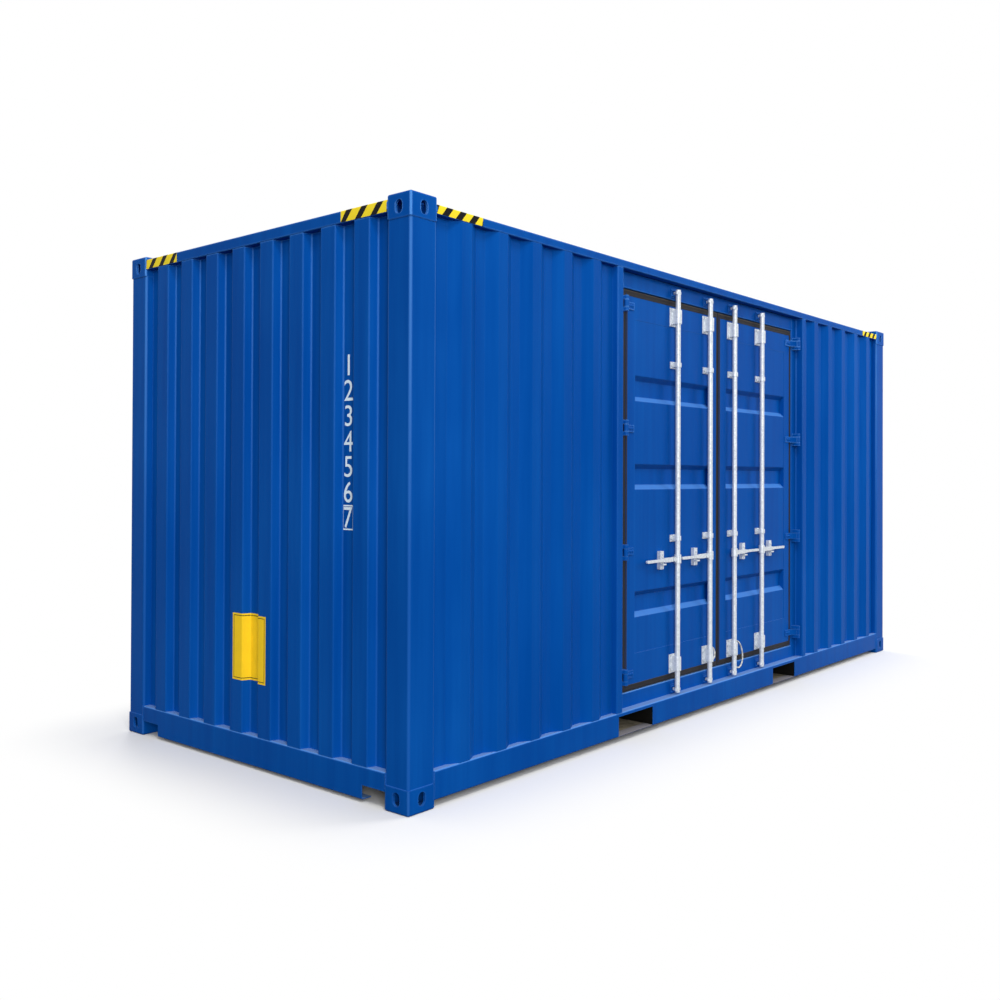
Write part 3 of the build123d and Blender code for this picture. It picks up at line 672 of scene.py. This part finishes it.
class CONTAINER_OT_doors(bpy.types.Operator):
    """Paint the door leaves, round and rivet their hinges, and fit lipped gaskets"""

    bl_idname = "container.doors"
    bl_label = "Finish the doors"

    def execute(self, context):
        for side, sign in SIDES.items():
            paint_nodes([f"{side}_leaf_frame", f"{side}_leaf_panel"], enamel("panels"))
            softened(f"hinge_lugs_{side}", enamel("forged_hinges"), "blue_paint")
            softened(f"{side}_hinge_blades", enamel("forged_hinges"), "blue_paint")
            self.rivets(side, sign)
            self.gasket(side)
        return {"FINISHED"}

    def rivets(self, side, sign):
        """Rivet each hinge blade to the leaf."""
        low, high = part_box(f"{side}_hinge_blades")
        inner = high.x if sign < 0 else low.x
        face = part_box(f"{side}_leaf_frame")[0].y - BLADE_THICKNESS * MM
        height = BLADE_HEIGHT * MM
        bm = bmesh.new()
        for i in range(HINGES_PER_LEAF):
            z = low.z + height / 2 + i * (high.z - low.z - height) / (HINGES_PER_LEAF - 1)
            for k in range(RIVETS_PER_BLADE):
                add_rivet(bm, (inner + sign * (FIRST_RIVET + RIVET_PITCH * k) * MM, face, z))
        link_piece(f"{side}_hinge_rivets", bm, f"{side}_door", "blue_paint", enamel("forged_steel"))

    def gasket(self, side):
        """Sweep a gasket with two lips and a thin flange on the leaf's face round the leaf."""
        hardware = bpy.context.scene.container_hardware
        low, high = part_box(f"{side}_leaf_gasket")
        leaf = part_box(f"{side}_leaf_frame")
        depth = high.y - low.y
        reach = (leaf[0].x - low.x, high.x - leaf[1].x, leaf[0].z - low.z, high.z - leaf[1].z)
        inward = (-hardware.gasket_flange,) * 4
        skin = hardware.gasket_skin
        bm = bmesh.new()
        self.sweep(bm, leaf, reach, [(out, low.y + deep * depth) for out, deep in GASKET_LIPS])
        self.sweep(bm, leaf, inward, [(out, leaf[0].y - rise * skin) for out, rise in GASKET_FLANGE])
        rubber = finished("extruded_epdm_rubber", gasket_rubber)
        piece = link_piece(f"{side}_gasket_lips", bm, f"{side}_door", "gasket_rubber", rubber)
        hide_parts(f"{side}_leaf_gasket")

    def sweep(self, bm, leaf, reach, profile):
        """Sweep a closed profile round the leaf.

        The profile holds shares of the reach and places in y; reach is left, right, bottom and top.
        """
        low, high = leaf
        left, right, bottom, top = reach
        rings = []
        for sx, sz in CORNERS:
            ring = []
            for out, y in profile:
                x = low.x - out * left if sx < 0 else high.x + out * right
                z = low.z - out * bottom if sz < 0 else high.z + out * top
                ring.append(bm.verts.new((x, y, z)))
            rings.append(ring)
        for a, b in zip(rings, rings[1:] + rings[:1]):
            for k in range(len(profile)):
                n = (k + 1) % len(profile)
                bm.faces.new((a[k], a[n], b[n], b[k]))


class CONTAINER_OT_lock_gear(bpy.types.Operator):
    """Round the galvanised lock gear and bolt it to the leaves"""

    bl_idname = "container.lock_gear"
    bl_label = "Fit the lock gear"

    def execute(self, context):
        softened("cam_keepers", enamel("forged_steel"), "blue_paint")
        for side, sign in SIDES.items():
            for name in (f"{side}_rod_bearings", f"{side}_handle_catches"):
                softened(name, zinc_coat(), "galvanised_steel")
            for place in ROD_PLACES:
                for part in ("lock_rod", "handle"):
                    softened(f"{side}_{place}_{part}", zinc_coat(), "galvanised_steel")
            self.bolts(side, sign)
        return {"FINISHED"}

    def bolts(self, side, sign):
        """Bolt the bearing plates, the guides and the catches."""
        leaf_low, leaf_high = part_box(f"{side}_leaf_frame")
        plate_low, plate_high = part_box(f"{side}_rod_bearings")
        catch_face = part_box(f"{side}_handle_catches")[0].y + CATCH_DEPTH * MM
        joints = {joint["name"]: joint["pos_m"] for joint in frame["record"]["behaviour"]["joints"]}
        face = leaf_low.y - BEARING_THICKNESS * MM
        bm = bmesh.new()
        for place in ROD_PLACES:
            x = joints[f"{side}_{place}_rod_turn"][0]
            grip = joints[f"{side}_{place}_handle_lift"][2]
            plates = (
                (plate_low.z + BEARING_END_TO_MIDDLE * MM, LOW_BEARING_BOLT_Z),
                (plate_high.z - BEARING_END_TO_MIDDLE * MM, HIGH_BEARING_BOLT_Z),
            )
            for z, spread in plates:
                for dx in (-BEARING_BOLT_X, BEARING_BOLT_X):
                    for dz in (-spread, spread):
                        add_bolt(bm, (x + dx * MM, face, z + dz * MM))
            for z in (grip + GUIDE_ABOVE_HANDLE * MM, leaf_high.z - GUIDE_BELOW_LEAF_TOP * MM):
                for dx in (-GUIDE_BOLT_X, GUIDE_BOLT_X):
                    add_bolt(bm, (x + dx * MM, face, z))
            for dz in CATCH_BOLT_ZS:
                add_bolt(bm, (x + sign * CATCH_FROM_ROD * MM, catch_face, grip + dz * MM))
        link_piece(f"{side}_lock_bolts", bm, f"{side}_door", "galvanised_steel", zinc_coat())


class CONTAINER_OT_welds(bpy.types.Operator):
    """Weld the posts and rails to the corner castings"""

    bl_idname = "container.welds"
    bl_label = "Weld the frame"

    def execute(self, context):
        low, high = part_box("corner_posts")
        rail_low, rail_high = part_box("top_side_rail_front")
        end_low, end_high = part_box("top_end_rail_left")
        bottom_low, bottom_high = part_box("bottom_side_rail_front")
        sill_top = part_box("end_sill_left")[1].z
        stop, inset, foot = BEAD_STOP * MM, FILL_INSET * MM, END_SILL_FOOT * MM
        span_x, span_y = rail_high.x, end_high.y
        thin = context.scene.container_hardware.bead_radius
        thick = context.scene.container_hardware.fill_radius
        bm = bmesh.new()
        for sx, sy in CORNERS:
            x, y = sx * high.x, sy * high.y
            out_x, out_y = (sx, 0, 0), (0, sy, 0)
            for z in (low.z, high.z):
                add_bead(bm, (x, sy * (span_y + stop), z), (x, sy * (high.y - stop), z), out_x, thin)
                add_bead(bm, (sx * (span_x + stop), y, z), (sx * (high.x - stop), y, z), out_y, thin)
            for base, top in ((rail_low.z, rail_high.z), (bottom_low.z, low.z)):
                add_bead(bm, (sx * span_x, y, base + stop), (sx * span_x, y, top - stop), out_y, thin)
            for base, top in ((end_low.z, end_high.z), (foot, low.z)):
                add_bead(bm, (x, sy * span_y, base + stop), (x, sy * span_y, top - stop), out_x, thin)
            fill_x, fill_y = sx * (span_x + inset), sy * (span_y + inset)
            deep_x, deep_y = x - sx * inset, y - sy * inset
            add_bead(bm, (fill_x, deep_y, low.z), (fill_x, deep_y, bottom_high.z), out_y, thick)
            add_bead(bm, (deep_x, fill_y, low.z), (deep_x, fill_y, sill_top), out_x, thick)
        link_piece("frame_welds", bm, "container", "blue_paint", enamel("forged_steel"))
        return {"FINISHED"}


class CONTAINER_OT_markings(bpy.types.Operator):
    """Stick the striped films, the plain digits and the bare yellow film on"""

    bl_idname = "container.markings"
    bl_label = "Add the markings"

    def execute(self, context):
        self.stripes(context)
        self.digits(context)
        self.plate(context)
        return {"FINISHED"}

    def stripes(self, context):
        """Wrap a striped film over the outer face and the top of each rail end."""
        marks = context.scene.container_markings
        films = (
            finished("yellow_vinyl_film", printed_film, colour="warning_yellow"),
            finished("black_vinyl_film", printed_film, colour="warning_black"),
        )
        low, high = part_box("top_side_rail_front")
        for face, sy in FACES.items():
            for side, sx in SIDES.items():
                corner = Vector((sx * high.x, sy * -low.y, high.z))
                along, outer = Vector((-sx, 0, 0)), Vector((0, sy, 0))
                name = f"stripes_{face}_{side}"
                self.band(name, corner, high.z - low.z, along, outer, marks.stripe_pitch, films)
        low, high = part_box("top_end_rail_left")
        for side, sx in SIDES.items():
            for face, sy in FACES.items():
                corner = Vector((sx * -low.x, sy * high.y, high.z))
                along, outer = Vector((0, -sy, 0)), Vector((sx, 0, 0))
                name = f"stripes_{side}_end_{face}"
                self.band(name, corner, high.z - low.z, along, outer, marks.end_pitch, films)

    def band(self, name, corner, rail_height, along, outer, pitch, films):
        """Make one film: corner is the rail end's outer top edge, along runs off along the rail."""
        marks = bpy.context.scene.container_markings
        film, bend = marks.film, FILM_BEND * MM
        rows = [(FILM_SHORT * MM - rail_height, film), (-bend, film)]
        for i in range(1, BEND_STEPS):
            angle = 0.5 * math.pi * i / BEND_STEPS
            rows.append(((bend + film) * math.sin(angle) - bend, (bend + film) * math.cos(angle) - bend))
        rows += [(film, -bend), (film, -FILM_LAP * MM)]
        points = [corner + UP * height + outer * out for height, out in rows]
        lengths = [0.0]
        for a, b in zip(points, points[1:]):
            lengths.append(lengths[-1] + (b - a).length)
        lean = marks.stripe_slant if self.leans_with(along, outer) else -marks.stripe_slant
        first = marks.stripe_start - marks.stripe_black / 2
        starts = [first + k * pitch for k in range(-2, int(marks.stripe_length / pitch) + 3)]
        cuts = [edge for start in starts for edge in (start, start + marks.stripe_black)]
        bm = bmesh.new()
        grid = []
        for point, height in zip(points, lengths):
            shift = lean * (height - lengths[1] / 2)
            edges = [min(max(cut + shift, 0.0), marks.stripe_length) for cut in cuts]
            grid.append([bm.verts.new(point + along * edge) for edge in edges])
        for low, high in zip(grid, grid[1:]):
            for k in range(len(cuts) - 1):
                a, b, c, d = low[k], low[k + 1], high[k + 1], high[k]
                if (b.co - a.co).length + (c.co - d.co).length > 1e-5:
                    bm.faces.new((a, b, c, d)).material_index = 1 - k % 2
        bmesh.ops.remove_doubles(bm, verts=bm.verts, dist=1e-6)
        bmesh.ops.dissolve_degenerate(bm, edges=bm.edges, dist=1e-6)
        link_piece(name, bm, "container", "blue_paint", *films)

    def leans_with(self, along, outer):
        """Say whether a stripe that leans along the rail also leans right for someone facing it."""
        return UP.cross(outer).dot(along) > 0

    def end_wall_outline(self):
        """Give the end wall's outline, seen from above, as points from the door side to the back."""
        mesh = frame["nodes"]["end_wall_left"].data
        points = set()
        for face in mesh.polygons:
            if face.normal.x < -0.15 and abs(face.normal.z) < 0.1:
                for i in face.vertices:
                    co = mesh.vertices[i].co
                    points.add((round(co.y, 5), round(co.x, 5)))
        return sorted(points)

    def digits(self, context):
        """Stand plain digits under each other in the end wall's first recess, the last one in a frame."""
        marks = context.scene.container_markings
        outline = self.end_wall_outline()
        deep = max(x for y, x in outline)
        floor_ys = [y for y, x in outline if x > deep - 0.5 * MM]
        first_crest = min(y for y, x in outline if x < CREST_X)
        start = min(y for y in floor_ys if y > first_crest)
        end = max(y for y in floor_ys if y < start + RECESS_WIDTH)
        middle = (start + end) / 2 + marks.digit_offset
        film_x = deep - marks.film
        bm = bmesh.new()
        for i, sign in enumerate(marks.digits):
            text = bpy.data.curves.new("digit", "FONT")
            text.body = sign
            carrier = bpy.data.objects.new("digit", text)
            shape = bpy.data.meshes.new_from_object(carrier)
            bpy.data.objects.remove(carrier)
            xs = [v.co.x for v in shape.vertices]
            ys = [v.co.y for v in shape.vertices]
            wide, crown = max(xs) - min(xs), max(ys)
            scale_z = marks.digit_height / (crown - min(ys))
            scale_y = min(marks.digit_width, wide * scale_z) / wide
            top = marks.digit_top - i * marks.digit_pitch
            centre = (max(xs) + min(xs)) / 2
            made = []
            for x, y in zip(xs, ys):
                place = (film_x, middle - (x - centre) * scale_y, top + (y - crown) * scale_z)
                made.append(bm.verts.new(place))
            for face in shape.polygons:
                bm.faces.new([made[k] for k in face.vertices])
            bpy.data.meshes.remove(shape)
            bpy.data.curves.remove(text)
        last = marks.digit_top - (len(marks.digits) - 1) * marks.digit_pitch
        self.frame_lines(bm, film_x, middle, last - marks.digit_height / 2)
        white = finished("white_vinyl_film", printed_film, colour="lettering")
        link_piece("end_wall_digits", bm, "container", "blue_paint", white)

    def frame_lines(self, bm, x, y, z):
        """Draw a plain rectangle of four lines round the last digit."""
        width, height = (size * MM for size in DIGIT_FRAME)
        rings = []
        for inset in (0.0, DIGIT_FRAME_LINE * MM):
            across, up = width / 2 - inset, height / 2 - inset
            rings.append([bm.verts.new((x, y + sy * across, z + sz * up)) for sy, sz in CORNERS])
        outer, inner = rings
        for k in range(4):
            n = (k + 1) % 4
            bm.faces.new((outer[k], outer[n], inner[n], inner[k]))

    def plate(self, context):
        """Lay a bare yellow film over the end wall's ribs, with a thin printed border."""
        marks = context.scene.container_markings
        outline = [p for p in self.end_wall_outline() if marks.plate_near < p[0] < marks.plate_far]
        crest = min(x for y, x in outline)
        outline = [(marks.plate_near, crest), *outline, (marks.plate_far, crest)]
        travel = [0.0]
        for a, b in zip(outline, outline[1:]):
            travel.append(travel[-1] + math.dist(a, b))
        whole, low, high = travel[-1], marks.plate_low, marks.plate_high
        margin, border = PLATE_MARGIN * MM, (PLATE_MARGIN + PLATE_LINE) * MM
        cuts = sorted({*travel, margin, border, whole - border, whole - margin})
        heights = [low, low + margin, low + border, high - border, high - margin, high]
        bm = bmesh.new()
        columns = []
        for cut in cuts:
            k = min(max(i for i, t in enumerate(travel) if t <= cut + 1e-9), len(outline) - 2)
            share = (cut - travel[k]) / (travel[k + 1] - travel[k])
            (y, x), (next_y, next_x) = outline[k], outline[k + 1]
            place = (x + share * (next_x - x) - marks.film, y + share * (next_y - y))
            columns.append([bm.verts.new((*place, z)) for z in heights])
        for i, (a, b) in enumerate(zip(columns, columns[1:])):
            middle = (cuts[i] + cuts[i + 1]) / 2
            from_edge = min(middle, whole - middle)
            for k in range(len(heights) - 1):
                face = bm.faces.new((a[k], b[k], b[k + 1], a[k + 1]))
                on_line = k in (1, 3) and from_edge > margin
                on_side = k in (1, 2, 3) and margin < from_edge < border
                face.material_index = 1 if on_line or on_side else 0
        link_piece(
            "end_wall_plate", bm, "container", "blue_paint",
            finished("plate_vinyl_film", printed_film, colour="plate_yellow"),
            finished("black_vinyl_film", printed_film, colour="warning_black"),
        )


class CONTAINER_OT_ropes(bpy.types.Operator):
    """Loop the tie cords beside the inner rods' lower bearings"""

    bl_idname = "container.ropes"
    bl_label = "Loop the tie cords"

    def execute(self, context):
        for side, route in ROPE_ROUTES.items():
            curve = bpy.data.curves.new(f"{side}_rope", "CURVE")
            curve.dimensions = "3D"
            curve.bevel_depth = ROPE_DIAMETER / 2
            curve.bevel_resolution = 5
            curve.resolution_u = 10
            curve.use_fill_caps = True
            curve.materials.append(finished("laid_polyester_rope", twisted_rope))
            spline = curve.splines.new("NURBS")
            spline.points.add(len(route) - 1)
            for point, place in zip(spline.points, route):
                point.co = (*(value * MM for value in place), 1.0)
            spline.order_u = 3
            spline.use_endpoint_u = True
            rope = bpy.data.objects.new(f"{side}_rope", curve)
            context.scene.collection.objects.link(rope)
            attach(rope, f"{side}_door")
            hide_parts(f"{side}_tie_cord")
        return {"FINISHED"}


class CONTAINER_OT_studio(bpy.types.Operator):
    """Build the pale floor, the soft lamps, the white surroundings and the camera"""

    bl_idname = "container.studio"
    bl_label = "Set up the studio"

    def execute(self, context):
        studio = context.scene.container_studio
        self.floor(studio)
        self.world(context, studio)
        for name, (place, target, size, glossy) in LAMPS.items():
            self.lamp(f"{name}_lamp", place, target, size, getattr(studio, f"{name}_power"), glossy)
        self.camera(context, studio)
        context.scene.view_settings.view_transform = "Standard"
        return {"FINISHED"}

    def floor(self, studio):
        """Make a round white floor that fades into the white surroundings."""
        bm = bmesh.new()
        bmesh.ops.create_circle(bm, cap_ends=True, segments=96, radius=studio.floor_radius)
        mesh = bpy.data.meshes.new("studio_floor")
        bm.to_mesh(mesh)
        bm.free()
        add, place = new_finish("matt_white_studio_floor")
        matt = add("BsdfPrincipled", sockets={
            "Base Color": linear("#F4F4F4"), "Roughness": 0.9, "Specular IOR Level": 0.0,
        })
        apart = add("VectorMath", place, operation="ABSOLUTE")
        past = add("VectorMath", apart, (*CAD_BOX[1].xy, 0.0), operation="SUBTRACT")
        beyond = add("VectorMath", past, (0.0, 0.0, 0.0), operation="MAXIMUM")
        reach = add("VectorMath", beyond, operation="LENGTH")
        fade = add("MapRange", reach, 0.0, 0.8, 0.0, 1.0, interpolation_type="SMOOTHSTEP")
        white = add("Emission", (1.0, 1.0, 1.0), 1.0)
        bright = add("MixShader", fade, matt, white)
        dim = add("BsdfDiffuse", (studio.floor_bounce,) * 3)
        add("OutputMaterial", add("MixShader", self.shown(add), dim, bright))
        mesh.materials.append(bpy.data.materials["matt_white_studio_floor"])
        floor = bpy.data.objects.new("studio_floor", mesh)
        bpy.context.scene.collection.objects.link(floor)

    def shown(self, add):
        """Give 1 for a ray that shows the surroundings to the camera, straight, mirrored or through glass."""
        path = add("LightPath").node.outputs
        seen = add("Math", path["Is Camera Ray"], path["Is Glossy Ray"], operation="MAXIMUM")
        return add("Math", seen, path["Is Transmission Ray"], operation="MAXIMUM")

    def world(self, context, studio):
        """Light evenly all round, and show white to the camera and in reflections."""
        world = bpy.data.worlds.new("white_surroundings")
        context.scene.world = world
        world.use_nodes = True
        world.node_tree.nodes.clear()
        add = partial(add_node, world.node_tree)
        level = add("MapRange", self.shown(add), 0.0, 1.0, studio.sky_level, 1.0)
        add("OutputWorld", add("Background", (1.0, 1.0, 1.0), level))

    def lamp(self, name, place, target, size, power, glossy):
        """Hang one rectangular soft lamp, aimed at a point; only a glossy one is mirrored in the paint."""
        data = bpy.data.lights.new(name, "AREA")
        data.shape = "RECTANGLE"
        data.size, data.size_y = size
        data.energy = power
        lamp = bpy.data.objects.new(name, data)
        lamp.location = place
        lamp.rotation_euler = (Vector(target) - Vector(place)).to_track_quat("-Z", "Y").to_euler()
        lamp.visible_glossy = glossy
        bpy.context.scene.collection.objects.link(lamp)

    def camera(self, context, studio):
        """Stand the camera where the photograph was taken."""
        data = bpy.data.cameras.new("camera")
        data.sensor_width = 36.0
        data.lens = studio.lens
        data.shift_x, data.shift_y = studio.shift_x, studio.shift_y
        data.clip_end = 200.0
        yaw = Matrix.Rotation(-studio.camera_yaw, 4, "Z")
        pitch = Matrix.Rotation(math.pi / 2 + studio.camera_pitch, 4, "X")
        roll = Matrix.Rotation(studio.camera_roll, 4, "Z")
        camera = bpy.data.objects.new("camera", data)
        camera.matrix_world = Matrix.Translation(studio.camera_place) @ yaw @ pitch @ roll
        context.scene.collection.objects.link(camera)
        context.scene.camera = camera


STEPS = (
    CONTAINER_OT_studio,
    CONTAINER_OT_ropes,
    CONTAINER_OT_steelwork,
    CONTAINER_OT_floor,
    CONTAINER_OT_doors,
    CONTAINER_OT_lock_gear,
    CONTAINER_OT_welds,
    CONTAINER_OT_markings,
)


class CONTAINER_PT_build(bpy.types.Panel):
    """List the steps that dress the container"""

    bl_label = "Shipping container"
    bl_space_type = "VIEW_3D"
    bl_region_type = "UI"
    bl_category = "Container"

    def draw(self, context):
        for step in STEPS:
            self.layout.operator(step.bl_idname)
        for name in SETTINGS:
            group = getattr(context.scene, name)
            box = self.layout.box()
            for prop in group.__annotations__:
                box.prop(group, prop)


SETTINGS = {
    "container_finish": ContainerFinish,
    "container_hardware": ContainerHardware,
    "container_markings": ContainerMarkings,
    "container_studio": ContainerStudio,
}
CLASSES = (*SETTINGS.values(), *STEPS, CONTAINER_PT_build)


def register():
    """Add the classes, and the settings that they read, to Blender."""
    for item in CLASSES:
        bpy.utils.register_class(item)
    for name, group in SETTINGS.items():
        setattr(bpy.types.Scene, name, PointerProperty(type=group))


def unregister():
    """Take the settings and the classes out of Blender again."""
    for name in SETTINGS:
        delattr(bpy.types.Scene, name)
    for item in reversed(CLASSES):
        bpy.utils.unregister_class(item)


def main():
    """Run every step in order."""
    register()
    for step in STEPS:
        group, action = step.bl_idname.split(".")
        getattr(getattr(bpy.ops, group), action)()


if __name__ == "__main__":
    main()
